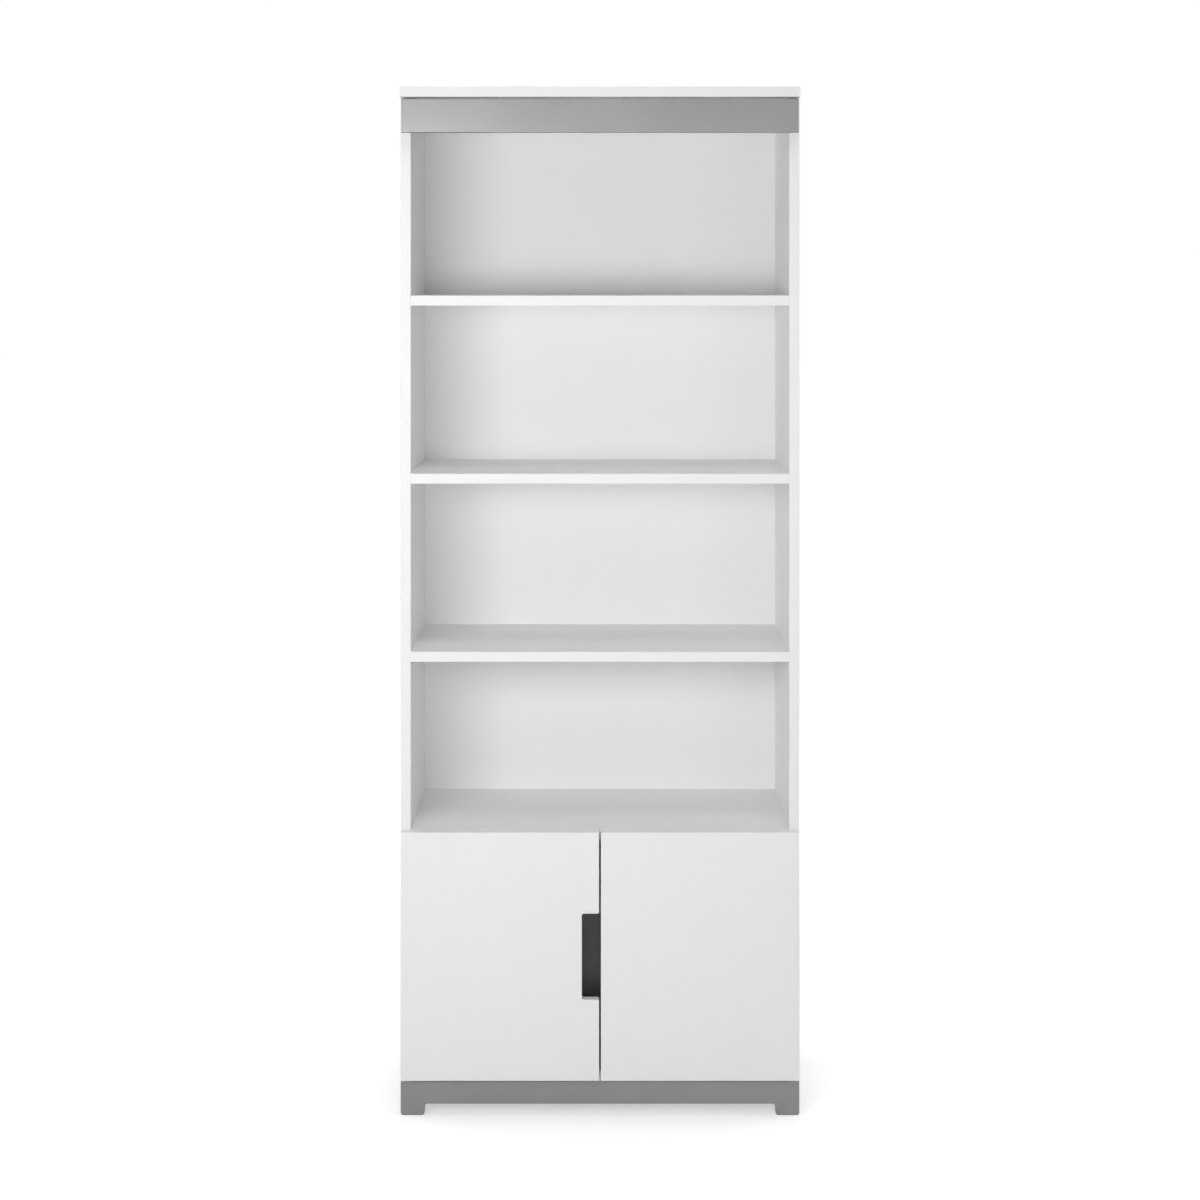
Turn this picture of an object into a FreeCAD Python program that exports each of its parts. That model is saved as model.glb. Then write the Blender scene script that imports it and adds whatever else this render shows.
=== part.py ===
import FreeCAD, Part
import os

# A tall bookcase: three shelves over a cupboard with two doors, a grey fascia and a grey base with feet.
# Millimetres, +Z up, the front faces -Y, and the origin is the middle of the footprint on the floor.

# Carcase boards
width = 700.0
depth = 350.0
board = 18.0
board_edge_radius = 1.0
middle_top = 501.0
shelf_pitch = 312.5
shelf_names = ["shelf_lower", "shelf_middle", "shelf_upper"]
top_bay = 347.0

# Back panels, thin sheets nailed into a rebate of the side panels and onto the boards' back edges
back_thickness = 3.0
rebate_width = 9.0
back_play = 0.5
back_joint = 1.0
nail_radius = 0.8
nail_length = 16.0
nail_head_radius = 2.0
nail_head_height = 0.8
nail_end_margin = 25.0
nail_joint_margin = 4.5
nail_board_spacing = 220.0
upper_nail_count = 9
lower_nail_count = 4

# Base frame, four rails with feet at the corners, held by blocks
base_height = 60.0
foot_height = 20.0
foot_width = 42.0
foot_corner_radius = 5.0
foot_inner_radius = 6.0
rail_thickness = 18.0
rail_edge_radius = 1.5
block_side = 30.0
block_screw_offset = 8.0
block_screw_rise = 8.0
block_screw_radius = 2.0
block_screw_bite = 12.0
block_screw_head_radius = 4.0
block_screw_head_height = 2.5

# Fascia, a grey strip in front of the side panels, on two angle brackets
fascia_height = 59.0
fascia_gap = 3.0
fascia_thickness = 18.0
fascia_end_reveal = 3.0
fascia_edge_radius = 1.5
bracket_leg = 22.0
bracket_height = 40.0
bracket_thickness = 2.0
bracket_screw_spread = 24.0
bracket_screw_radius = 1.75
bracket_screw_length = 14.0
bracket_screw_head_radius = 3.5
bracket_screw_head_height = 2.0

# Wall bracket under the top panel, against the back panel
wall_leg = 36.0
wall_width = 44.0
wall_thickness = 2.0
wall_hole_radius = 3.0
wall_hole_drop = 18.0
wall_back_hole_radius = 5.0
wall_screw_spread = 24.0
wall_screw_setback = 20.0

# Dowels and cam fittings in the board ends
dowel_radius = 4.0
dowel_length = 30.0
dowel_bite = 12.0
cam_inset = 65.0
cam_to_dowel = 32.0
cam_setback = 34.0
cam_radius = 7.5
cam_floor = 4.5
cam_play = 0.2
cam_cap_radius = 8.5
cam_cap_height = 1.0
bolt_radius = 2.5
bolt_bite = 11.0
bolt_bore_radius = 4.0
bolt_head_radius = 3.4
bolt_head_length = 7.0

# Doors
door_thickness = 18.0
door_gap = 2.0
door_side_reveal = 1.5
door_meeting_gap = 3.0
door_bottom = 67.0
door_front_radius = 1.5
door_back_radius = 0.6
notch_width = 30.0
notch_height = 150.0
notch_radius = 3.5
notch_mouth_radius = 3.0
bumper_radius = 4.0
bumper_height = 1.7
bumper_from_edge = 14.0

# Hinges: a cup let into the door, an arm that turns on a pin in the cup, a plate on the side panel
hinge_inset = 80.0
cup_radius = 17.5
cup_edge = 3.0
cup_wall = 0.7
cup_front_wall = 4.4
flange_thickness = 1.0
flange_height = 56.0
flange_inward = 14.5
flange_outward = 12.0
flange_radius = 5.0
cup_screw_spread = 45.0
cup_screw_inward = 9.5
cup_screw_radius = 1.75
cup_screw_length = 12.0
cup_screw_head_radius = 3.2
cup_screw_head_height = 1.5
pin_radius = 1.25
pin_play = 0.05
pin_length = 13.0
pin_from_edge = 6.2
pin_from_floor = 2.3
lug_radius = 2.0
lug_play = 0.2
eye_radius = 1.95
eye_width = 5.2
neck_length = 3.5
web_width = 8.0
web_behind_pin = 0.6
arm_width = 12.0
arm_thickness = 1.8
plate_thickness = 3.0
plate_setback = 37.0
plate_length = 32.0
plate_width = 16.0
wing_length = 12.0
wing_span = 46.0
plate_screw_spread = 32.0
plate_screw_radius = 2.0
plate_screw_length = 14.0
plate_screw_head_radius = 3.8
plate_screw_head_height = 2.0
arm_screw_radius = 2.0
arm_screw_length = 4.3
arm_screw_head_radius = 3.6
arm_screw_head_height = 2.0

# Play of a fastener in its hole, how far cuts run past a face, and how near counts as in a plane
fit = 0.05
overrun = 1.0
near = 0.01

# Planes that the pieces share
half = width / 2
inner = half - board
front = -depth / 2
back = depth / 2
door_back = front + door_thickness
carcase_front = door_back + door_gap
back_face = back - back_thickness
middle_bottom = middle_top - board
shelf_tops = [middle_top + shelf_pitch * (number + 1) for number in range(len(shelf_names))]
top_bottom = shelf_tops[-1] + top_bay
top_height = top_bottom + board
bottom_top = base_height + board
fascia_top = top_bottom - fascia_gap
fascia_bottom = fascia_top - fascia_height
fascia_front = carcase_front - fascia_thickness
back_split = (middle_top + middle_bottom) / 2

Vector = FreeCAD.Vector


def box(x, y, z):
    """A block between the low and high ends given for each axis."""
    return Part.makeBox(x[1] - x[0], y[1] - y[0], z[1] - z[0], Vector(x[0], y[0], z[0]))


def rod(radius, start, end):
    """A round bar from one point to another."""
    axis = Vector(*end) - Vector(*start)
    return Part.makeCylinder(radius, axis.Length, Vector(*start), axis)


def mirrored(shape):
    """The same shape on the other side of the bookcase."""
    return shape.mirror(Vector(0, 0, 0), Vector(1, 0, 0))


def both_sides(shapes):
    """Left-hand shapes and their mirror images."""
    return shapes + [mirrored(shape) for shape in shapes]


def edges_at(shape, x=None, y=None, z=None):
    """The edges that lie in every plane given."""
    picked = []
    for edge in shape.Edges:
        bounds = edge.BoundBox
        spans = [(x, bounds.XMin, bounds.XMax), (y, bounds.YMin, bounds.YMax), (z, bounds.ZMin, bounds.ZMax)]
        if all(at is None or (abs(low - at) < near and abs(high - at) < near) for at, low, high in spans):
            picked.append(edge)
    return picked


def rounded(shape, radius, *places):
    """Rounds the edges that lie in each set of planes."""
    edges = [edge for place in places for edge in edges_at(shape, **place)]
    return shape.makeFillet(radius, edges)


def along(point, direction, distance):
    """The point at a distance from another, in a direction."""
    return tuple(start + step * distance for start, step in zip(point, direction))


def screw(point, direction, radius, length, head_radius, head_height):
    """A screw whose head sits at the point and whose shank runs in the direction."""
    shank = rod(radius, point, along(point, direction, length))
    head = rod(head_radius, along(point, direction, -head_height), point)
    return shank.fuse(head).removeSplitter()


def screw_hole(point, direction, radius, length):
    """The hole that such a screw's shank needs."""
    return rod(radius + fit, along(point, direction, -overrun), along(point, direction, length + fit))


def save(node, *solids):
    """Writes one node, a single solid or a group of separate ones."""
    shape = solids[0] if len(solids) == 1 else Part.makeCompound(list(solids))
    shape.exportStep("parts/" + node + ".step")


os.makedirs("parts", exist_ok=True)

# Joints of the boards that lie between the side panels, for the left end: places along the depth
cam_places = [carcase_front + cam_inset, back_face - cam_inset]
dowel_places = [carcase_front + cam_inset + cam_to_dowel, back_face - cam_inset - cam_to_dowel]
board_bottoms = [base_height, middle_bottom] + [top - board for top in shelf_tops]
side_middle = half - board / 2
cam_depth = board - cam_floor


def cam_bolt(root, direction):
    """A bolt screwed in at its root, whose head lies in the cam."""
    bar = rod(bolt_radius, along(root, direction, -bolt_bite), along(root, direction, cam_setback))
    head_start = along(root, direction, cam_setback - bolt_head_length / 2)
    head = rod(bolt_head_radius, head_start, along(head_start, direction, bolt_head_length))
    return bar.fuse(head).removeSplitter()


def cam_disc(mouth, inward, bolt_direction):
    """A cam let in at its mouth, with a channel for the bolt's head."""
    disc = rod(cam_radius - fit, mouth, along(mouth, inward, cam_depth - cam_play))
    middle = along(mouth, inward, board / 2)
    channel_end = along(middle, bolt_direction, bolt_head_length / 2 + cam_play)
    channel_start = along(middle, bolt_direction, -cam_radius - overrun)
    return disc.cut(rod(bolt_head_radius + cam_play, channel_start, channel_end))


def cam_cuts(root, bolt_direction, mouth, inward):
    """The bore for the bolt and the pocket for the cam."""
    bore_start = along(root, bolt_direction, -overrun)
    bore = rod(bolt_bore_radius, bore_start, along(root, bolt_direction, cam_setback))
    pocket = rod(cam_radius, along(mouth, inward, -overrun), along(mouth, inward, cam_depth))
    return [bore, pocket]


def dowel_hole(start, direction):
    """The hole that a dowel needs, through both of its boards."""
    return rod(dowel_radius + fit, along(start, direction, -fit), along(start, direction, dowel_length + fit))


def cam_cap(mouth, inward):
    """The cap that covers a cam."""
    return rod(cam_cap_radius, along(mouth, inward, -cam_cap_height), mouth)


# Left-hand fittings, and what they cut from the boards and from the left side panel
dowels, cam_bolts, cam_discs, cam_caps, side_cuts, top_cuts = [], [], [], [], [], []
board_cuts = {bottom: [] for bottom in board_bottoms}
for bottom in board_bottoms:
    for y in cam_places:
        root = (-inner, y, bottom + board / 2)
        mouth = (-inner + cam_setback, y, bottom)
        cam_bolts.append(cam_bolt(root, (1, 0, 0)))
        cam_discs.append(cam_disc(mouth, (0, 0, 1), (1, 0, 0)))
        cam_caps.append(cam_cap(mouth, (0, 0, 1)))
        board_cuts[bottom] += cam_cuts(root, (1, 0, 0), mouth, (0, 0, 1))
        side_cuts.append(screw_hole(root, (-1, 0, 0), bolt_radius, bolt_bite))
    for y in dowel_places:
        start = (-inner - dowel_bite, y, bottom + board / 2)
        dowels.append(rod(dowel_radius, start, along(start, (1, 0, 0), dowel_length)))
        board_cuts[bottom].append(dowel_hole(start, (1, 0, 0)))
        side_cuts.append(dowel_hole(start, (1, 0, 0)))
for y in cam_places:
    root = (-side_middle, y, top_bottom)
    mouth = (-inner, y, top_bottom - cam_setback)
    cam_bolts.append(cam_bolt(root, (0, 0, -1)))
    cam_discs.append(cam_disc(mouth, (-1, 0, 0), (0, 0, -1)))
    cam_caps.append(cam_cap(mouth, (-1, 0, 0)))
    side_cuts += cam_cuts(root, (0, 0, -1), mouth, (-1, 0, 0))
    top_cuts.append(screw_hole(root, (0, 0, 1), bolt_radius, bolt_bite))
for y in dowel_places:
    start = (-side_middle, y, top_bottom + dowel_bite)
    dowels.append(rod(dowel_radius, start, along(start, (0, 0, -1), dowel_length)))
    side_cuts.append(dowel_hole(start, (0, 0, -1)))
    top_cuts.append(dowel_hole(start, (0, 0, -1)))
save("dowels", *both_sides(dowels))
save("cam_bolts", *both_sides(cam_bolts))
save("cam_discs", *both_sides(cam_discs))
save("cam_caps", *both_sides(cam_caps))

# Nails of the back panels: up the side panels' rebates and along the boards' back edges
nail_x = inner + rebate_width / 2
upper_low = back_split + nail_end_margin
upper_step = (top_bottom - nail_end_margin - upper_low) / (upper_nail_count - 1)
lower_low = base_height + nail_end_margin
lower_step = (back_split - nail_end_margin - lower_low) / (lower_nail_count - 1)
side_nail_heights = [upper_low + upper_step * number for number in range(upper_nail_count)]
side_nail_heights += [lower_low + lower_step * number for number in range(lower_nail_count)]
board_nail_heights = {bottom: [bottom + board / 2] for bottom in board_bottoms}
board_nail_heights[middle_bottom] = [back_split - nail_joint_margin, back_split + nail_joint_margin]
side_nails = [(-nail_x, back, z) for z in side_nail_heights]
board_nails = {}
for bottom in board_bottoms:
    board_nails[bottom] = [(-nail_board_spacing / 2, back, z) for z in board_nail_heights[bottom]]
into_back = (0, -1, 0)


def nail(place):
    """A nail driven flush with the back of its panel."""
    return screw(along(place, into_back, nail_head_height), into_back, nail_radius,
                 nail_length - nail_head_height, nail_head_radius, nail_head_height)


def nail_hole(place):
    """The hole of a nail's shank."""
    return screw_hole(place, into_back, nail_radius, nail_length)


def nail_cuts(place):
    """The hole and the sunk seat of a nail."""
    seat_end = along(place, into_back, nail_head_height)
    seat = rod(nail_head_radius + fit, along(place, into_back, -overrun), seat_end)
    return [nail_hole(place), seat]


all_nails = side_nails + [place for bottom in board_bottoms for place in board_nails[bottom]]
save("back_panel_nails", *both_sides([nail(place) for place in all_nails]))
nail_holes = both_sides([cut for place in all_nails for cut in nail_cuts(place)])
side_cuts += [nail_hole(place) for place in side_nails]
for bottom in board_bottoms:
    board_cuts[bottom] += [nail_hole(place) for place in board_nails[bottom]]

# Base frame: the front and back rails run the full width, and each corner has an L of two feet
rail_spans = {"base_front_rail": (carcase_front, carcase_front + rail_thickness),
              "base_back_rail": (back - rail_thickness, back)}
side_rail_span = (carcase_front + rail_thickness, back - rail_thickness)
rail_inner = half - rail_thickness
side_foot = foot_width - rail_thickness
block_x = (-rail_inner, -rail_inner + block_side)
block_middle_x = -rail_inner + block_side / 2
block_middle_z = (foot_height + base_height) / 2
block_bite = block_side + block_screw_bite
blocks, frame_screws, fixing_screws = [], [], []
rail_cuts, fixing_cuts = [], []
for wall, into_wall in ((side_rail_span[0], -1), (side_rail_span[1], 1)):
    face = wall - into_wall * block_side
    block = box(block_x, (min(wall, face), max(wall, face)), (foot_height, base_height))
    middle_y = (wall + face) / 2
    to_rail = (block_middle_x + block_screw_offset, face, block_middle_z - block_screw_rise)
    to_side = (block_x[1], middle_y - into_wall * block_screw_offset, block_middle_z + block_screw_rise)
    upward = (block_middle_x, middle_y, foot_height)
    frame_places = [(to_rail, (0, into_wall, 0)), (to_side, (-1, 0, 0))]
    fixing_length = base_height - foot_height + block_screw_bite
    head = (block_screw_head_radius, block_screw_head_height)
    frame_screws += [screw(at, way, block_screw_radius, block_bite, *head) for at, way in frame_places]
    fixing_screws.append(screw(upward, (0, 0, 1), block_screw_radius, fixing_length, *head))
    frame_holes = [screw_hole(at, way, block_screw_radius, block_bite) for at, way in frame_places]
    fixing_hole = screw_hole(upward, (0, 0, 1), block_screw_radius, fixing_length)
    blocks.append(block.cut(frame_holes + [fixing_hole]))
    rail_cuts += frame_holes
    fixing_cuts.append(fixing_hole)
save("base_corner_blocks", *both_sides(blocks))
save("base_frame_screws", *both_sides(frame_screws))
save("base_fixing_screws", *both_sides(fixing_screws))

for node, span in rail_spans.items():
    bar = box((-half, half), span, (foot_height, base_height))
    foot = box((-half, -half + foot_width), span, (0, foot_height))
    rail = bar.fuse(both_sides([foot])).removeSplitter()
    corners = [dict(x=x, z=0) for x in (-half, -half + foot_width, half - foot_width, half)]
    rail = rounded(rail, foot_corner_radius, *corners)
    foot_tops = [dict(x=x, z=foot_height) for x in (-half + foot_width, half - foot_width)]
    rail = rounded(rail, foot_inner_radius, *foot_tops)
    outer_face = span[0] if node == "base_front_rail" else span[1]
    rail = rounded(rail, rail_edge_radius, dict(y=outer_face))
    save(node, rail.cut(both_sides(rail_cuts)))

side_bar = box((-half, -rail_inner), side_rail_span, (foot_height, base_height))
side_feet = [box((-half, -rail_inner), (side_rail_span[0], side_rail_span[0] + side_foot), (0, foot_height)),
             box((-half, -rail_inner), (side_rail_span[1] - side_foot, side_rail_span[1]), (0, foot_height))]
side_rail = side_bar.fuse(side_feet).removeSplitter()
side_foot_edges = [side_rail_span[0] + side_foot, side_rail_span[1] - side_foot]
side_rail = rounded(side_rail, foot_corner_radius, *[dict(y=y, z=0) for y in side_foot_edges])
side_rail = rounded(side_rail, foot_inner_radius, *[dict(y=y, z=foot_height) for y in side_foot_edges])
side_rail = side_rail.cut(rail_cuts)
save("base_side_rail_left", side_rail)
save("base_side_rail_right", mirrored(side_rail))

# Fascia and its two angle brackets, each with two screws in either leg
fascia_middle = (fascia_bottom + fascia_top) / 2
fascia_end = half - fascia_end_reveal
bracket_span = (fascia_middle - bracket_height / 2, fascia_middle + bracket_height / 2)
bracket_face = carcase_front + bracket_thickness
bracket_side = -inner + bracket_thickness
fascia_leg = box((-inner, -inner + bracket_leg), (carcase_front, bracket_face), bracket_span)
side_leg = box((-inner, bracket_side), (carcase_front, carcase_front + bracket_leg), bracket_span)
bracket_out = bracket_thickness + (bracket_leg - bracket_thickness) / 2
fascia_places = []
for rise in (-bracket_screw_spread / 2, bracket_screw_spread / 2):
    to_fascia = (-inner + bracket_out, bracket_face, fascia_middle + rise)
    to_panel = (bracket_side, carcase_front + bracket_out, fascia_middle + rise)
    fascia_places += [(to_fascia, (0, -1, 0)), (to_panel, (-1, 0, 0))]
bracket_shank = (bracket_screw_radius, bracket_screw_length)
bracket_head = (bracket_screw_head_radius, bracket_screw_head_height)
fascia_screws = [screw(at, way, *bracket_shank, *bracket_head) for at, way in fascia_places]
fascia_holes = [screw_hole(at, way, *bracket_shank) for at, way in fascia_places]
bracket = fascia_leg.fuse(side_leg).removeSplitter().cut(fascia_holes)
save("fascia_brackets", *both_sides([bracket]))
save("fascia_screws", *both_sides(fascia_screws))
side_cuts += fascia_holes
fascia = box((-fascia_end, fascia_end), (fascia_front, carcase_front), (fascia_bottom, fascia_top))
fascia = rounded(fascia, fascia_edge_radius, dict(y=fascia_front))
save("fascia", fascia.cut(both_sides(fascia_holes)))

# Wall bracket: a hole for the wall's own screw, and two screws up into the top panel
wall_hole_z = top_bottom - wall_hole_drop
wall_x = (-wall_width / 2, wall_width / 2)
wall_front = back_face - wall_thickness
wall_under = top_bottom - wall_thickness
upright = box(wall_x, (wall_front, back_face), (top_bottom - wall_leg, top_bottom))
shelf_leg = box(wall_x, (back_face - wall_leg, back_face), (wall_under, top_bottom))
wall_hole = rod(wall_hole_radius, (0, wall_front - overrun, wall_hole_z), (0, back + overrun, wall_hole_z))
wall_y = back_face - wall_screw_setback
wall_places = [(x, wall_y, wall_under) for x in (-wall_screw_spread / 2, wall_screw_spread / 2)]
wall_screws = [screw(at, (0, 0, 1), *bracket_shank, *bracket_head) for at in wall_places]
wall_screw_holes = [screw_hole(at, (0, 0, 1), *bracket_shank) for at in wall_places]
save("wall_bracket", upright.fuse(shelf_leg).removeSplitter().cut([wall_hole] + wall_screw_holes))
save("wall_bracket_screws", *wall_screws)

# Hinge fastenings, shared by the doors and the side panels, at both hinge heights
hinge_heights = {"lower": door_bottom + hinge_inset, "upper": middle_top - hinge_inset}
door_outer = -half + door_side_reveal
cup_x = door_outer + cup_edge + cup_radius
cup_bottom = front + cup_front_wall
cup_floor_face = cup_bottom + cup_wall
flange_face = door_back + flange_thickness
pin_x = door_outer + pin_from_edge
pin_y = cup_floor_face + pin_from_floor
plate_face = -inner + plate_thickness
plate_y = carcase_front + plate_setback
arm_face = plate_face + arm_thickness
web_front = pin_y + web_behind_pin - arm_thickness


def around(middle, size):
    """The two ends of a length laid about its middle."""
    return (middle - size / 2, middle + size / 2)


def cup_screw_places(z):
    """Where the cup's two screws enter."""
    return [(cup_x + cup_screw_inward, flange_face, height) for height in around(z, cup_screw_spread)]


def plate_screw_places(z):
    """Where the plate's two screws enter."""
    return [(plate_face, plate_y, height) for height in around(z, plate_screw_spread)]


def hinge_cup(z):
    """A cup with its flange, and the two lugs that hold the pin."""
    rim = cup_radius - fit
    bowl = rod(rim, (cup_x, cup_bottom + fit, z), (cup_x, flange_face, z))
    flange_x = (cup_x - flange_outward, cup_x + flange_inward)
    flange = box(flange_x, (door_back, flange_face), around(z, flange_height))
    corners = [dict(x=x, z=height) for x in flange_x for height in around(z, flange_height)]
    flange = rounded(flange, flange_radius, *corners)
    hollow = rod(rim - cup_wall, (cup_x, cup_floor_face, z), (cup_x, flange_face + overrun, z))
    lugs = []
    for end in (-1, 1):
        near_end = z + end * (eye_width / 2 + lug_play)
        far_end = z + end * pin_length / 2
        span = (min(near_end, far_end), max(near_end, far_end))
        lugs.append(box(around(pin_x, lug_radius * 2), (cup_bottom + fit, pin_y), span))
        lugs.append(rod(lug_radius, (pin_x, pin_y, span[0]), (pin_x, pin_y, span[1])))
    outside = bowl.fuse(flange)
    inside = [bowl.common(lug) for lug in lugs]
    cuts = [screw_hole(at, (0, -1, 0), cup_screw_radius, cup_screw_length) for at in cup_screw_places(z)]
    pin_ends = around(z, pin_length)
    cuts.append(rod(pin_radius + fit / 2, (pin_x, pin_y, pin_ends[0]), (pin_x, pin_y, pin_ends[1])))
    return outside.cut(hollow).fuse(inside).removeSplitter().cut(cuts)


def hinge_arm(z):
    """An eye on the pin, a web out of the cup and a leg back to the plate."""
    eye = rod(eye_radius, (pin_x, pin_y, z - eye_width / 2), (pin_x, pin_y, z + eye_width / 2))
    web_y = (web_front, pin_y + web_behind_pin)
    neck = box((pin_x, pin_x + neck_length), web_y, around(z, eye_width))
    web = box((pin_x + neck_length, arm_face), web_y, around(z, web_width))
    leg = box((plate_face, arm_face), (web_front, plate_y + plate_length / 2), around(z, arm_width))
    pin_hole = rod(pin_radius + pin_play, (pin_x, pin_y, z - eye_width), (pin_x, pin_y, z + eye_width))
    screw_cut = screw_hole((arm_face, plate_y, z), (-1, 0, 0), arm_screw_radius, arm_screw_length)
    return eye.fuse([neck, web, leg]).removeSplitter().cut([pin_hole, screw_cut])


def hinge_plate(z):
    """A cross-shaped plate on the side panel."""
    body = box((-inner, plate_face), around(plate_y, plate_length), around(z, plate_width))
    wings = box((-inner, plate_face), around(plate_y, wing_length), around(z, wing_span))
    places = plate_screw_places(z)
    cuts = [screw_hole(at, (-1, 0, 0), plate_screw_radius, plate_screw_length) for at in places]
    cuts.append(screw_hole((arm_face, plate_y, z), (-1, 0, 0), arm_screw_radius, arm_screw_length))
    return body.fuse(wings).removeSplitter().cut(cuts)


door_cuts, cup_screws, plate_screws, arm_screws = [], [], [], []
cup_head = (cup_screw_head_radius, cup_screw_head_height)
plate_head = (plate_screw_head_radius, plate_screw_head_height)
arm_head = (arm_screw_head_radius, arm_screw_head_height)
for level, z in hinge_heights.items():
    pieces = {"cup": hinge_cup(z), "arm": hinge_arm(z), "plate": hinge_plate(z),
              "pin": rod(pin_radius, (pin_x, pin_y, z - pin_length / 2), (pin_x, pin_y, z + pin_length / 2))}
    for piece, shape in pieces.items():
        save("hinge_" + piece + "_left_" + level, shape)
        save("hinge_" + piece + "_right_" + level, mirrored(shape))
    door_cuts.append(rod(cup_radius, (cup_x, cup_bottom, z), (cup_x, door_back + overrun, z)))
    for at in cup_screw_places(z):
        cup_screws.append(screw(at, (0, -1, 0), cup_screw_radius, cup_screw_length, *cup_head))
        door_cuts.append(screw_hole(at, (0, -1, 0), cup_screw_radius, cup_screw_length))
    for at in plate_screw_places(z):
        plate_screws.append(screw(at, (-1, 0, 0), plate_screw_radius, plate_screw_length, *plate_head))
        side_cuts.append(screw_hole(at, (-1, 0, 0), plate_screw_radius, plate_screw_length))
    arm_place = (arm_face, plate_y, z)
    arm_screws.append(screw(arm_place, (-1, 0, 0), arm_screw_radius, arm_screw_length, *arm_head))
save("hinge_cup_screws_left", *cup_screws)
save("hinge_cup_screws_right", *[mirrored(each) for each in cup_screws])
save("hinge_plate_screws", *both_sides(plate_screws))
save("hinge_arm_screws", *both_sides(arm_screws))

# Doors: the left one has the finger notch in its meeting edge
door_inner = -door_meeting_gap / 2
notch_x = door_inner - notch_width
notch_span = around((door_bottom + middle_top) / 2, notch_height)


def finished_door(door):
    """Rounds a door's outlines and drills it for its hinges."""
    door = rounded(door, door_front_radius, dict(y=front))
    door = rounded(door, door_back_radius, dict(y=door_back))
    return door.cut(door_cuts)


blank = box((door_outer, door_inner), (front, door_back), (door_bottom, middle_top))
notch = box((notch_x, door_inner + overrun), (front - overrun, door_back + overrun), notch_span)
notched = rounded(blank.cut(notch), notch_radius, *[dict(x=notch_x, z=z) for z in notch_span])
notched = rounded(notched, notch_mouth_radius, *[dict(x=door_inner, z=z) for z in notch_span])
save("door_left", finished_door(notched))
save("door_right", mirrored(finished_door(blank)))
bumper_x = door_inner - bumper_from_edge
bumper_heights = [(door_bottom + bottom_top) / 2, back_split]
bumper_face = door_back + bumper_height
bumpers = [rod(bumper_radius, (bumper_x, door_back, z), (bumper_x, bumper_face, z)) for z in bumper_heights]
save("door_bumpers_left", *bumpers)
save("door_bumpers_right", *[mirrored(bumper) for bumper in bumpers])

# Side panels: rebated at the back for the back panels
panel = box((-half, -inner), (carcase_front, back), (base_height, top_bottom))
rebate_z = (base_height - overrun, top_bottom + overrun)
rebate = box((-inner - rebate_width, -inner + overrun), (back_face, back + overrun), rebate_z)
front_edges = [dict(x=x, y=carcase_front) for x in (-half, -inner)]
panel = rounded(panel.cut(rebate), board_edge_radius, *front_edges).cut(side_cuts)
save("side_panel_left", panel)
save("side_panel_right", mirrored(panel))

# Top panel, over the side panels and flush with the door fronts
top = box((-half, half), (front, back), (top_bottom, top_height))
top = rounded(top, board_edge_radius, dict(y=front), dict(x=-half, z=top_height), dict(x=half, z=top_height))
save("top_panel", top.cut(both_sides(top_cuts) + wall_screw_holes))

# Boards between the side panels
board_names = dict(zip(board_bottoms, ["bottom_panel", "middle_panel"] + shelf_names))
for bottom, node in board_names.items():
    shelf = box((-inner, inner), (carcase_front, back_face), (bottom, bottom + board))
    shelf_edges = [dict(y=carcase_front, z=z) for z in (bottom, bottom + board)]
    shelf = rounded(shelf, board_edge_radius, *shelf_edges)
    cuts = both_sides(board_cuts[bottom])
    save(node, shelf.cut(cuts + both_sides(fixing_cuts) if node == "bottom_panel" else cuts))

# Back panels, meeting behind the middle panel, with a hole for the wall's screw
sheet_x = inner + rebate_width - back_play
clear_ends = [(0, y, wall_hole_z) for y in (back_face - overrun, back + overrun)]
wall_clear = rod(wall_back_hole_radius, *clear_ends)
sheets = {"back_panel_lower": (base_height + back_play, back_split - back_joint / 2),
          "back_panel_upper": (back_split + back_joint / 2, top_bottom - back_play)}
for node, span in sheets.items():
    sheet = box((-sheet_x, sheet_x), (back_face, back), span)
    save(node, sheet.cut(nail_holes + [wall_clear]))
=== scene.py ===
import math
import bmesh
import bpy
from mathutils import Matrix, Vector


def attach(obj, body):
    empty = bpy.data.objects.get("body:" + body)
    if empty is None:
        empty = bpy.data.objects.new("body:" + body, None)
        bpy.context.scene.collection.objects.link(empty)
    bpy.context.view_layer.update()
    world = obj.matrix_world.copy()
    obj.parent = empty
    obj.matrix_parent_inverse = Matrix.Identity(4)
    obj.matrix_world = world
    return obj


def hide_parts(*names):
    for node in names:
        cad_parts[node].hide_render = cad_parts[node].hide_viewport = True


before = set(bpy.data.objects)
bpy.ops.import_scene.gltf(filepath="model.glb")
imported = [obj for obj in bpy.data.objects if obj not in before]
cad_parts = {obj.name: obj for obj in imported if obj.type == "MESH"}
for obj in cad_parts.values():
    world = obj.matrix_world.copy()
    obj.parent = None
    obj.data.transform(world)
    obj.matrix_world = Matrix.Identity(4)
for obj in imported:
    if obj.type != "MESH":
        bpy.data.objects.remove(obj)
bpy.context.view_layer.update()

# Base frame: four rails of board that stand on feet, made by cutting the rails away between the corners.
# They are wrapped in a silver-grey foil, whose fine metal flake gives a soft sheen towards the lamp and an
# even grey away from it.


def linear(code):
    """An sRGB hex colour as linear light."""
    levels = [int(code[at:at + 2], 16) / 255 for at in (1, 3, 5)]
    return tuple(((c + 0.055) / 1.055) ** 2.4 if c > 0.04045 else c / 12.92 for c in levels) + (1.0,)


def fill(tree, node, inputs):
    """Gives a node's sockets their constants and their links."""
    for name, value in inputs.items():
        if isinstance(value, bpy.types.NodeSocket):
            tree.links.new(value, node.inputs[name])
        else:
            node.inputs[name].default_value = value


def add(tree, kind, inputs=None, **settings):
    """One node with its settings, its constants and its links."""
    made = tree.nodes.new(kind)
    for name, value in settings.items():
        setattr(made, name, value)
    fill(tree, made, inputs or {})
    return made


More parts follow.
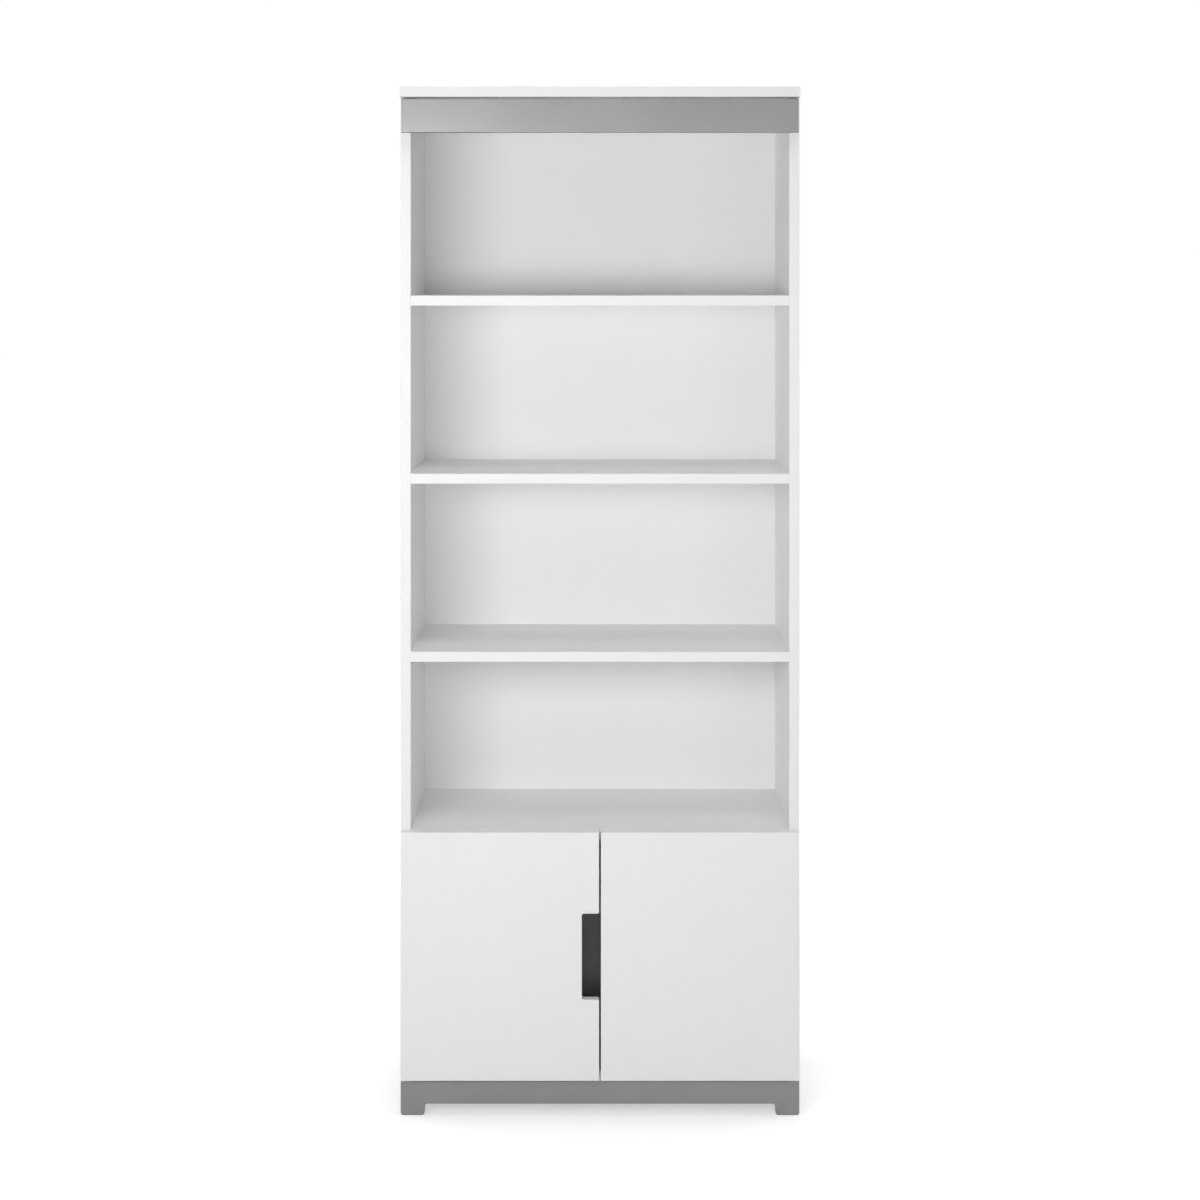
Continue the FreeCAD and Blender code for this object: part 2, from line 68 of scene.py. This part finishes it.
def new_finish(name):
    """A new material with its node tree, its shader and its Object coordinates."""
    made = bpy.data.materials.new(name)
    made.use_nodes = True
    tree = made.node_tree
    return made, tree, tree.nodes["Principled BSDF"], add(tree, "ShaderNodeTexCoord").outputs["Object"]


def per_metre(millimetres):
    """A pattern's scale from the real size of its grain."""
    return 1000 / millimetres


def give(material, *nodes):
    """Puts a finish on CAD nodes."""
    for name in nodes:
        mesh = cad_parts[name].data
        mesh.materials.clear()
        mesh.materials.append(material)


# A Mix node's colour sockets go by number, because its other sockets have the same names.
colour_1 = 6
colour_2 = 7
colour_out = 2

# Flake is about 0.05 mm, too fine to show, so it is drawn 1.6 mm wide and very faint. The cloud is the
# unevenness of the print, about 140 mm wide.
silver_foil, tree, shader, place = new_finish("silver_grey_foil")
flake = add(tree, "ShaderNodeTexNoise", {"Vector": place, "Scale": per_metre(1.6), "Detail": 3.0})
cloud = add(tree, "ShaderNodeTexNoise", {"Vector": place, "Scale": per_metre(140), "Detail": 1.0})
both = add(tree, "ShaderNodeMath", {0: flake.outputs["Fac"], 1: cloud.outputs["Fac"]}, operation="ADD")
tone = add(tree, "ShaderNodeMapRange", {"Value": both.outputs["Value"], "From Min": 0.6, "From Max": 1.4})
grey = add(tree, "ShaderNodeMix", {"Factor": tone.outputs["Result"], colour_1: linear("#848484"),
                                   colour_2: linear("#8c8c8c")}, data_type="RGBA")
gloss = add(tree, "ShaderNodeMapRange", {"Value": flake.outputs["Fac"], "To Min": 0.27, "To Max": 0.33})
relief = add(tree, "ShaderNodeBump", {"Height": flake.outputs["Fac"], "Distance": 0.00004, "Strength": 0.5})
fill(tree, shader, {"Base Color": grey.outputs[colour_out], "Roughness": gloss.outputs["Result"],
                    "Normal": relief.outputs["Normal"], "Metallic": 0.5})
give(silver_foil, "base_front_rail", "base_back_rail", "base_side_rail_left", "base_side_rail_right")

# Corner blocks: sawn softwood, glued into the base's corners, where they only show from below. The saw
# leaves the grain dull, with growth rings about 3 mm apart. A wave texture of scale 1 has its bands a tenth
# of pi apart.
band_spacing = math.pi / 10
softwood, tree, shader, place = new_finish("sawn_softwood")
stretch = add(tree, "ShaderNodeMapping", {"Vector": place, "Scale": (1.0, 1.0, 0.12)})
rings = add(tree, "ShaderNodeTexWave", {"Vector": stretch.outputs["Vector"], "Distortion": 3.0, "Detail": 2.0,
                                        "Scale": per_metre(3) * band_spacing})
wood = add(tree, "ShaderNodeMix", {"Factor": rings.outputs["Fac"], colour_1: linear("#c9a777"),
                                   colour_2: linear("#dcc196")}, data_type="RGBA")
fill(tree, shader, {"Base Color": wood.outputs[colour_out], "Roughness": 0.7})
give(softwood, "base_corner_blocks")

# Base screws: pan-head steel screws with a cross recess, through the blocks into the rails and up into the
# bottom panel. Nickel plating gives all the bookcase's steel a slightly cloudy shine.
nickel, tree, shader, place = new_finish("nickel_plated_steel")
cloud = add(tree, "ShaderNodeTexNoise", {"Vector": place, "Scale": per_metre(2.5), "Detail": 3.0})
gloss = add(tree, "ShaderNodeMapRange", {"Value": cloud.outputs["Fac"], "To Min": 0.22, "To Max": 0.28})
plate = add(tree, "ShaderNodeMix", {"Factor": cloud.outputs["Fac"], colour_1: linear("#c4c3c0"),
                                    colour_2: linear("#cac9c6")}, data_type="RGBA")
fill(tree, shader, {"Base Color": plate.outputs[colour_out], "Roughness": gloss.outputs["Result"],
                    "Metallic": 1.0})

# Lengths in metres that count as nothing, the cosine from which a face counts as square to a direction, and
# the angle up to which an edge is shaded smooth.
merge_gap = 1e-6
level_gap = 1e-5
square_on = 0.999
smooth_angle = math.radians(35)

# Shares of a head's height for its rounding and its recess's depth, and of its radius for the recess's width
# and reach. The recess and the shank's point narrow to a share of their width, and the point is two shank
# radii long. The driver leaves each recess a turn, in radians, further round than the last.
screw_facets = 32
head_rounding = 0.75
recess_depth = 0.6
recess_width = 0.24
recess_reach = 0.42
recess_taper = 0.6
point_taper = 0.25
point_radii = 2
driver_turn = 2.4


def select_only(*parts):
    """Leaves just these parts selected, the first one active, for the operators that follow."""
    bpy.ops.object.select_all(action="DESELECT")
    for part in parts:
        part.select_set(True)
    bpy.context.view_layer.objects.active = parts[0]


def merged_copy(node):
    """A CAD node's mesh as a new part in edit mode, with its triangles joined up and all selected."""
    made = bpy.data.objects.new(node + "_copy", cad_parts[node].data.copy())
    bpy.context.collection.objects.link(made)
    select_only(made)
    bpy.ops.object.mode_set(mode="EDIT")
    bpy.ops.mesh.select_all(action="SELECT")
    bpy.ops.mesh.remove_doubles(threshold=merge_gap)
    return made


def middle_and_size(points):
    """The middle and the size of the box round some points."""
    low, high = (Vector(pick_end(values) for values in zip(*points)) for pick_end in (min, max))
    return (low + high) / 2, high - low


def solids_of(node):
    """The corner points of each separate solid in a CAD node, in order along a slanting line."""
    merged_copy(node)
    bpy.ops.mesh.separate(type="LOOSE")
    bpy.ops.object.mode_set(mode="OBJECT")
    parts = list(bpy.context.selected_objects)
    found = [[corner.co.copy() for corner in part.data.vertices] for part in parts]
    for part in parts:
        bpy.data.objects.remove(part)
    slant = Vector((0.71, 0.57, 0.41))
    return sorted(found, key=lambda points: middle_and_size(points)[0].dot(slant))


def read_screw(points):
    """A CAD screw's seat and direction, then its sizes: shank radius and length, head radius and height."""
    middle, size = middle_and_size(points)
    axis = min(range(3), key=lambda each: abs(size[each - 1] - size[each - 2]))
    across = [math.hypot(point[axis - 1] - middle[axis - 1], point[axis - 2] - middle[axis - 2])
              for point in points]
    ends = []
    for end in (middle[axis] - size[axis] / 2, middle[axis] + size[axis] / 2):
        at_end = [wide for point, wide in zip(points, across) if abs(point[axis] - end) < level_gap]
        ends.append((max(at_end), end))
    (shank_radius, tip), (head_radius, crown) = sorted(ends)
    rim = [point[axis] for point, wide in zip(points, across) if wide > (shank_radius + head_radius) / 2]
    seat = middle.copy()
    seat[axis] = max(rim, key=lambda level: abs(level - crown))
    direction = Vector((0, 0, 0))
    direction[axis] = math.copysign(1, tip - seat[axis])
    return (seat, direction), (shank_radius, abs(tip - seat[axis]), head_radius, abs(crown - seat[axis]))


def pick(part, kind, test):
    """In edit mode, selects only the faces, edges or verts that pass a test."""
    bpy.ops.mesh.select_mode(type=kind[:-1].upper())
    bpy.ops.mesh.select_all(action="DESELECT")
    mesh = bmesh.from_edit_mesh(part.data)
    for element in getattr(mesh, kind):
        element.select_set(test(element))
    bmesh.update_edit_mesh(part.data)


def new_part(name, add_shape, **sizes):
    """A primitive with its place in its mesh, in edit mode."""
    bpy.ops.object.select_all(action="DESELECT")
    add_shape(**sizes)
    made = bpy.context.object
    made.name = name
    bpy.ops.object.transform_apply(location=True, rotation=True, scale=True)
    bpy.ops.object.mode_set(mode="EDIT")
    return made


def round_topped(name, facets, radius, height, rounding, segments):
    """A disc that stands on the origin with its top edge rounded, in edit mode."""
    made = new_part(name, bpy.ops.mesh.primitive_cylinder_add, vertices=facets, radius=radius, depth=height,
                    location=(0, 0, height / 2))
    pick(made, "edges", lambda edge: all(end.co.z > height / 2 for end in edge.verts))
    bpy.ops.mesh.bevel(offset=height * rounding, segments=segments)
    return made


def cross_bit(width, reach, depth, height):
    """A driver's tapered cross, sunk to a depth below a height."""
    made = new_part("cross_bit", bpy.ops.mesh.primitive_cube_add, size=1, location=(0, 0, height),
                    scale=(width, width, depth * 2))
    for x, y in ((1, 0), (-1, 0), (0, 1), (0, -1)):
        way = Vector((x, y, 0))
        pick(made, "faces", lambda face: face.normal.dot(way) > square_on
             and abs(face.calc_center_median().xy.cross(way.xy)) < width / 4)
        bpy.ops.mesh.extrude_region_move(TRANSFORM_OT_translate={"value": way * reach})
    pick(made, "verts", lambda corner: corner.co.z < height)
    bpy.ops.transform.resize(value=(recess_taper, recess_taper, 1), center_override=(0, 0, 0))
    bpy.ops.object.mode_set(mode="OBJECT")
    return made


def pan_head_screw(shank_radius, shank_length, head_radius, head_height):
    """One screw at the origin: its domed head above the seat, its shank below, a cross recess in the head."""
    made = round_topped("screw", screw_facets, head_radius, head_height, head_rounding, segments=5)
    pick(made, "faces", lambda face: face.normal.z < -square_on)
    bpy.ops.mesh.inset(thickness=head_radius - shank_radius)
    straight = max(shank_length - shank_radius * point_radii, shank_length / 2)
    bpy.ops.mesh.extrude_region_move(TRANSFORM_OT_translate={"value": (0, 0, -straight)})
    bpy.ops.mesh.extrude_region_move(TRANSFORM_OT_translate={"value": (0, 0, straight - shank_length)})
    bpy.ops.transform.resize(value=(point_taper, point_taper, 1), center_override=(0, 0, 0))
    bpy.ops.object.mode_set(mode="OBJECT")
    bit = cross_bit(head_radius * recess_width, head_radius * recess_reach, head_height * recess_depth,
                    head_height)
    recess = made.modifiers.new("recess", "BOOLEAN")
    recess.object = bit
    recess.solver = "EXACT"
    select_only(made)
    bpy.ops.object.modifier_apply(modifier="recess")
    bpy.data.objects.remove(bit)
    bpy.ops.object.shade_smooth_by_angle(angle=smooth_angle)
    return made


def set_in_place(model, name, placings, turn=0.0):
    """Copies of a model on their seats, each a turn further round than the last, joined as one piece."""
    copies = []
    for number, (seat, direction) in enumerate(placings):
        copy = bpy.data.objects.new(name, model.data.copy())
        bpy.context.collection.objects.link(copy)
        aim = direction.to_track_quat("-Z", "Y").to_matrix().to_4x4()
        copy.data.transform(Matrix.Translation(seat) @ aim @ Matrix.Rotation(number * turn, 4, "Z"))
        copies.append(copy)
    select_only(*copies)
    bpy.ops.object.join()
    return copies[0]


def fit(piece, material, body, slot, *nodes):
    """Gives a finished piece its material, and its place in the frame instead of CAD nodes."""
    piece.data.materials.clear()
    piece.data.materials.append(material)
    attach(piece, body)
    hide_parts(*nodes)


def drive_screws(node, body):
    """Pan-head screws in the places of a CAD node's plain ones."""
    placings, sizes = zip(*[read_screw(points) for points in solids_of(node)])
    model = pan_head_screw(*sizes[0])
    piece = set_in_place(model, node + "_cross_head", placings, driver_turn)
    bpy.data.objects.remove(model)
    fit(piece, nickel, body, "steel", node)


drive_screws("base_frame_screws", "carcase")
drive_screws("base_fixing_screws", "carcase")

# Carcase boards: chipboard faced with white melamine paper and edged with white plastic strip. The press
# plate leaves a pearl grain that softens reflections. The back edges, which face the wall at y 0.175, are
# left bare, so the brown chips show there.
bare_edge = 0.17485
# Pearl grain is under 1 mm, too fine to show, so it is drawn 3 mm wide.
melamine, tree, shader, place = new_finish("white_melamine_board")
pearl = add(tree, "ShaderNodeTexNoise", {"Vector": place, "Scale": per_metre(3.0), "Detail": 4.0})
cloud = add(tree, "ShaderNodeTexNoise", {"Vector": place, "Scale": per_metre(260), "Detail": 2.0})
white = add(tree, "ShaderNodeMix", {"Factor": cloud.outputs["Fac"], colour_1: linear("#e9e9e9"),
                                    colour_2: linear("#ececec")}, data_type="RGBA")
chip = add(tree, "ShaderNodeTexVoronoi", {"Vector": place, "Scale": per_metre(3.5), "Randomness": 1.0})
chips = add(tree, "ShaderNodeValToRGB", {"Fac": chip.outputs["Color"]})
chips.color_ramp.elements[0].color = linear("#a88a62")
chips.color_ramp.elements[1].color = linear("#d2b98f")
apart = add(tree, "ShaderNodeSeparateXYZ", {"Vector": place})
bare = add(tree, "ShaderNodeMath", {0: apart.outputs["Y"], 1: bare_edge}, operation="GREATER_THAN")
colour = add(tree, "ShaderNodeMix", {"Factor": bare.outputs["Value"], colour_1: white.outputs[colour_out],
                                     colour_2: chips.outputs["Color"]}, data_type="RGBA")
gloss = add(tree, "ShaderNodeMapRange", {"Value": pearl.outputs["Fac"], "To Min": 0.38, "To Max": 0.5})
dull = add(tree, "ShaderNodeMath", {0: bare.outputs["Value"], 1: 0.4, 2: gloss.outputs["Result"]},
           operation="MULTIPLY_ADD")
relief = add(tree, "ShaderNodeBump", {"Height": pearl.outputs["Fac"], "Distance": 0.00006, "Strength": 0.6})
fill(tree, shader, {"Base Color": colour.outputs[colour_out], "Roughness": dull.outputs["Value"],
                    "Normal": relief.outputs["Normal"]})
give(melamine, "side_panel_left", "side_panel_right", "top_panel", "bottom_panel", "middle_panel",
     "shelf_lower", "shelf_middle", "shelf_upper")

# Dowels of beech and steel cam fittings join the boards, all inside their ends and out of sight. Beech is
# pale with short darker flecks.
beech, tree, shader, place = new_finish("turned_beech")
fleck = add(tree, "ShaderNodeTexNoise", {"Vector": place, "Scale": per_metre(1.5), "Detail": 3.0})
wood = add(tree, "ShaderNodeMix", {"Factor": fleck.outputs["Fac"], colour_1: linear("#c39a6b"),
                                   colour_2: linear("#dcb98b")}, data_type="RGBA")
fill(tree, shader, {"Base Color": wood.outputs[colour_out], "Roughness": 0.65})
give(beech, "dowels")
give(nickel, "cam_bolts", "cam_discs")

# Cam caps: moulded white polythene discs, pressed over the cams under each board and inside the side panels.
# Each has a rounded rim, a dished middle, and a flat where a blade lifts it off. Polythene comes from the
# mould a little waxy, so its shine is dull.
polythene, tree, shader, place = new_finish("white_polythene")
mould = add(tree, "ShaderNodeTexNoise", {"Vector": place, "Scale": per_metre(2.0), "Detail": 2.0})
white = add(tree, "ShaderNodeMix", {"Factor": mould.outputs["Fac"], colour_1: linear("#e6e6e5"),
                                    colour_2: linear("#eaeae9")}, data_type="RGBA")
fill(tree, shader, {"Base Color": white.outputs[colour_out], "Roughness": 0.45})

# Shares of a cap's height for its rounding and its dish's depth, and of its radius for the flat's distance
# from the middle, the rim's width and the slope into the dish.
cap_facets = 40
cap_rounding = 0.6
dish_depth = 0.25
cap_flat = 0.95
cap_rim = 0.2
dish_slope = 0.08


def seat_on(points, direction):
    """Where a disc-shaped CAD solid meets what carries it, and the direction in which that lies."""
    middle, size = middle_and_size(points)
    return middle + direction * abs(size.dot(direction)) / 2, direction


def disc_sizes(points):
    """A disc-shaped CAD solid's radius and thickness."""
    thickness, _, across = sorted(middle_and_size(points)[1])
    return across / 2, thickness


cap_solids = solids_of("cam_caps")
cap_radius, cap_height = disc_sizes(cap_solids[0])
cap = new_part("cap", bpy.ops.mesh.primitive_cylinder_add, vertices=cap_facets, radius=cap_radius,
               depth=cap_height, location=(0, 0, cap_height / 2))
bpy.ops.mesh.bisect(plane_co=(cap_radius * cap_flat, 0, 0), plane_no=(1, 0, 0), clear_outer=True,
                    use_fill=True)
pick(cap, "edges", lambda edge: all(end.co.z > cap_height / 2 for end in edge.verts))
bpy.ops.mesh.bevel(offset=cap_height * cap_rounding, segments=4)
pick(cap, "faces", lambda face: face.normal.z > square_on)
bpy.ops.mesh.inset(thickness=cap_radius * cap_rim)
bpy.ops.mesh.inset(thickness=cap_radius * dish_slope, depth=-cap_height * dish_depth)
bpy.ops.object.mode_set(mode="OBJECT")
bpy.ops.object.shade_smooth_by_angle(angle=smooth_angle)
cap_seats = []
for solid in cap_solids:
    cap_middle, cap_size = middle_and_size(solid)
    outward = Vector((math.copysign(1, cap_middle.x), 0, 0))
    under_board = cap_size.z < cap_size.x
    cap_seats.append(seat_on(solid, Vector((0, 0, 1)) if under_board else outward))
cap_piece = set_in_place(cap, "cam_caps_dished", cap_seats)
bpy.data.objects.remove(cap)
fit(cap_piece, polythene, "carcase", "white_plastic", "cam_caps")

# Back panels: 3 mm hardboard in two sheets, let into the side panels and nailed on. The side that faces
# the shelves has a white lacquer with a faint roller grain, and the wall side is bare brown fibre.
wall_side = 0.1725
# Roller grain is about 1 mm and fibres are finer, so they are drawn 4 and 5 mm wide to show.
hardboard, tree, shader, place = new_finish("lacquered_hardboard")
roller = add(tree, "ShaderNodeTexNoise", {"Vector": place, "Scale": per_metre(4.0), "Detail": 3.0})
fibre_place = add(tree, "ShaderNodeMapping", {"Vector": place, "Scale": (1.0, 1.0, 0.35)})
fibre = add(tree, "ShaderNodeTexNoise", {"Vector": fibre_place.outputs["Vector"], "Scale": per_metre(5.0),
                                         "Detail": 8.0, "Roughness": 0.7})
brown = add(tree, "ShaderNodeMix", {"Factor": fibre.outputs["Fac"], colour_1: linear("#7d5f41"),
                                    colour_2: linear("#b08f68")}, data_type="RGBA")
white = add(tree, "ShaderNodeMix", {"Factor": roller.outputs["Fac"], colour_1: linear("#e9e9e9"),
                                    colour_2: linear("#ececec")}, data_type="RGBA")
apart = add(tree, "ShaderNodeSeparateXYZ", {"Vector": place})
bare = add(tree, "ShaderNodeMath", {0: apart.outputs["Y"], 1: wall_side}, operation="GREATER_THAN")
colour = add(tree, "ShaderNodeMix", {"Factor": bare.outputs["Value"], colour_1: white.outputs[colour_out],
                                     colour_2: brown.outputs[colour_out]}, data_type="RGBA")
dull = add(tree, "ShaderNodeMath", {0: bare.outputs["Value"], 1: 0.3, 2: 0.5}, operation="MULTIPLY_ADD")
relief = add(tree, "ShaderNodeBump", {"Height": roller.outputs["Fac"], "Distance": 0.00005, "Strength": 0.5})
fill(tree, shader, {"Base Color": colour.outputs[colour_out], "Roughness": dull.outputs["Value"],
                    "Normal": relief.outputs["Normal"]})
give(hardboard, "back_panel_lower", "back_panel_upper")
give(nickel, "back_panel_nails")

# Fascia: a strip of board in the base's foil, held under the top panel by two steel angles, each with two
# screws in either leg. The angles are folded from strip, so their edges are a little rounded.
give(silver_foil, "fascia")
strip_edge = 0.0003
flat_angle = math.radians(1)
sharp_angle = math.radians(40)


def stamped_copy(node, press=None):
    """A copy of a CAD node with its flat faces whole, and its sharp edges rounded as a press leaves them."""
    made = merged_copy(node)
    bpy.ops.mesh.dissolve_limited(angle_limit=flat_angle)
    if press:
        press(made)
    bpy.ops.object.mode_set(mode="OBJECT")
    made.name = node + "_stamped"
    edge = made.modifiers.new("edge", "BEVEL")
    edge.width = strip_edge
    edge.segments = 2
    edge.limit_method = "ANGLE"
    edge.angle_limit = sharp_angle
    bpy.ops.object.modifier_apply(modifier="edge")
    bpy.ops.object.shade_smooth_by_angle(angle=smooth_angle)
    return made


fit(stamped_copy("fascia_brackets"), nickel, "carcase", "steel", "fascia_brackets")
drive_screws("fascia_screws", "carcase")

# Wall bracket: a steel angle screwed under the top panel, with the hole for the screw that keeps so tall a
# bookcase from tipping.
fit(stamped_copy("wall_bracket"), nickel, "carcase", "steel", "wall_bracket")
drive_screws("wall_bracket_screws", "carcase")

# Doors: two leaves of the carcase's white board, edged all round with its strip, that hang on the side panels
# and meet in the middle. The left one has the finger notch in its meeting edge.
give(melamine, "door_left", "door_right")

# Hinges: a pressed cup let into the door's back, an arm that turns on a pin in it, and a plate on the side
# panel that the arm is screwed to. A bead pressed along the arm stiffens it, and starts and ends at these
# distances from the arm's front. The pin stays as it was turned.
bead_width = 0.005
bead_rise = 0.0008
bead_start = 0.016
bead_end = 0.042


def press_bead(arm):
    """Raises a bead on the arm's side that faces into the cupboard, between its bend and its screw."""
    middle, size = middle_and_size([corner.co for corner in bmesh.from_edit_mesh(arm.data).verts])
    inward = Vector((-math.copysign(1, middle.x), 0, 0))
    inner_side = middle.x + inward.x * size.x / 2
    front = middle.y - size.y / 2

    def on_inner_side(face):
        level = face.calc_center_median().x
        return face.normal.dot(inward) > square_on and abs(level - inner_side) < level_gap

    def in_bead(point):
        along = bead_start - merge_gap < point.y - front < bead_end + merge_gap
        return along and abs(point.z - middle.z) < bead_width / 2 + merge_gap

    cuts = [((0, front + end, 0), (0, 1, 0)) for end in (bead_start, bead_end)]
    cuts += [((0, 0, middle.z + half * bead_width / 2), (0, 0, 1)) for half in (-1, 1)]
    for point, normal in cuts:
        pick(arm, "faces", on_inner_side)
        bpy.ops.mesh.bisect(plane_co=point, plane_no=normal)
    pick(arm, "faces", lambda face: on_inner_side(face) and all(in_bead(corner.co) for corner in face.verts))
    bpy.ops.mesh.inset(thickness=bead_width / 4, depth=bead_rise)


for side in ("left", "right"):
    for level in ("lower", "upper"):
        for pressing, body, press in (("plate", "carcase", None), ("arm", "carcase", press_bead),
                                      ("cup", side + "_door", None)):
            node = "hinge_%s_%s_%s" % (pressing, side, level)
            fit(stamped_copy(node, press), nickel, body, "steel", node)
        give(nickel, "hinge_pin_%s_%s" % (side, level))
    drive_screws("hinge_cup_screws_" + side, side + "_door")
drive_screws("hinge_plate_screws", "carcase")
drive_screws("hinge_arm_screws", "carcase")

# Door bumpers: clear soft polyurethane domes, stuck to the doors' backs to keep them from knocking on the
# boards. The surface is smooth and the inside slightly hazy.
soft_clear, tree, shader, place = new_finish("clear_polyurethane")
haze = add(tree, "ShaderNodeTexNoise", {"Vector": place, "Scale": per_metre(1.5), "Detail": 2.0})
gloss = add(tree, "ShaderNodeMapRange", {"Value": haze.outputs["Fac"], "To Min": 0.15, "To Max": 0.3})
fill(tree, shader, {"Base Color": linear("#dfe2e2"), "Roughness": gloss.outputs["Result"],
                    "Transmission Weight": 0.5})
dome_facets = 32
dome_rounding = 0.85
bumper_solids = {side: solids_of("door_bumpers_" + side) for side in ("left", "right")}
dome = round_topped("dome", dome_facets, *disc_sizes(bumper_solids["left"][0]), dome_rounding, segments=6)
bpy.ops.object.mode_set(mode="OBJECT")
bpy.ops.object.shade_smooth_by_angle(angle=smooth_angle)
for side, solids in bumper_solids.items():
    node = "door_bumpers_" + side
    bumper_seats = [seat_on(solid, Vector((0, -1, 0))) for solid in solids]
    fit(set_in_place(dome, node + "_domed", bumper_seats), soft_clear, side + "_door", "clear_rubber", node)
bpy.data.objects.remove(dome)

# Studio floor: pale paper without a horizon, white to the eye. Near the bookcase, where the lamps reach, its
# own glow is lower, so that the bookcase keeps its shadow.
floor_width = 80
near_reach = 1.1
far_reach = 3.0
near_glow = 0.5
far_glow = 0.86


def seen_rays(tree):
    """An output that is 1 on rays to the eye, straight, mirrored or through the bumpers, and 0 on others."""
    rays = add(tree, "ShaderNodeLightPath")
    seen = rays.outputs["Is Camera Ray"]
    for kind in ("Is Glossy Ray", "Is Transmission Ray"):
        larger = add(tree, "ShaderNodeMath", {0: seen, 1: rays.outputs[kind]}, operation="MAXIMUM")
        seen = larger.outputs["Value"]
    return seen


bpy.ops.object.select_all(action="DESELECT")
bpy.ops.mesh.primitive_plane_add(size=floor_width)
floor = bpy.context.object
floor.name = "studio_floor"
paper, tree, shader, place = new_finish("pale_floor")
tree.nodes.remove(shader)
away = add(tree, "ShaderNodeVectorMath", {0: place}, operation="LENGTH")
level = add(tree, "ShaderNodeMapRange", {"Value": away.outputs["Value"], "From Min": near_reach,
                                         "From Max": far_reach, "To Min": near_glow, "To Max": far_glow})
glow = add(tree, "ShaderNodeEmission", {"Color": linear("#ffffff"), "Strength": level.outputs["Result"]})
shaded = add(tree, "ShaderNodeBsdfDiffuse", {"Color": linear("#d4d4d4")})
pale = add(tree, "ShaderNodeAddShader", {0: glow.outputs["Emission"], 1: shaded.outputs["BSDF"]})
plain = add(tree, "ShaderNodeBsdfDiffuse", {"Color": linear("#e1e1e1")})
mixed = add(tree, "ShaderNodeMixShader", {0: seen_rays(tree), 1: plain.outputs["BSDF"],
                                          2: pale.outputs["Shader"]})
fill(tree, tree.nodes["Material Output"], {"Surface": mixed.outputs["Shader"]})
floor.data.materials.append(paper)

# Studio room: white to the eye, and dimmer as light on the bookcase, so that the lamps draw its shapes.
# White boards pass light on many times before it fades, so the bounces are many.
room_light = 0.22
world = bpy.data.worlds.new("studio")
bpy.context.scene.world = world
world.use_nodes = True
tree = world.node_tree
level = add(tree, "ShaderNodeMapRange", {"Value": seen_rays(tree), "To Min": room_light, "To Max": 1.0})
fill(tree, tree.nodes["Background"], {"Color": linear("#ffffff"), "Strength": level.outputs["Result"]})
bpy.context.scene.cycles.max_bounces = 24
bpy.context.scene.cycles.diffuse_bounces = 20

# Lamps: each has its place, what it faces, its width and height in metres and its power in watts. Three stand
# before the bookcase, the key at the left, and a steep one lights the fronts of its shelves. The others keep
# its sides, back and top from going dark.
for name, spot, towards, wide, high, watts in (
        ("key_lamp", (-0.8, -2.2, 1.32), (0, 0, 1.0), 1.0, 0.55, 22.8),
        ("right_lamp", (0.9, -2.2, 1.15), (0, 0, 1.0), 0.9, 0.5, 4.6),
        ("front_lamp", (0, -4.1, 1.1), (0, 0, 1.0), 0.6, 0.6, 13),
        ("steep_lamp", (0.4, -1.6, 4.4), (0, 0, 0.9), 1.8, 1.0, 25),
        ("left_side_lamp", (-2.4, 0.9, 1.4), (0, 0.3, 0.9), 1.4, 1.6, 23),
        ("right_side_lamp", (2.4, 0.9, 1.4), (0, 0.3, 0.9), 1.4, 1.6, 23),
        ("back_lamp", (0.3, 3.0, 1.3), (0, 0, 0.9), 1.6, 1.6, 26),
        ("top_lamp", (0, 0.5, 3.6), (0, 0.1, 1.8), 1.2, 1.2, 16)):
    bpy.ops.object.light_add(type="AREA", location=spot)
    lamp = bpy.context.object
    lamp.name = name
    lamp.rotation_euler = (Vector(towards) - lamp.location).to_track_quat("-Z", "Z").to_euler()
    lamp.data.shape = "RECTANGLE"
    lamp.data.size = wide
    lamp.data.size_y = high
    lamp.data.energy = watts

# Camera: level and square to the front, at the height of the top shelf, of which the photograph shows neither
# the top nor the underside. The lens is moved down to take in the whole bookcase with its uprights parallel.
eye_distance = 4.175
eye_height = 1.4575
bpy.ops.object.camera_add(location=(0, -eye_distance, eye_height), rotation=(math.radians(90), 0, 0))
camera = bpy.context.object
camera.data.sensor_width = 36
camera.data.lens = 68.74
camera.data.shift_y = -0.2628
bpy.context.scene.camera = camera
bpy.context.scene.view_settings.view_transform = "Standard"

bpy.context.view_layer.update()
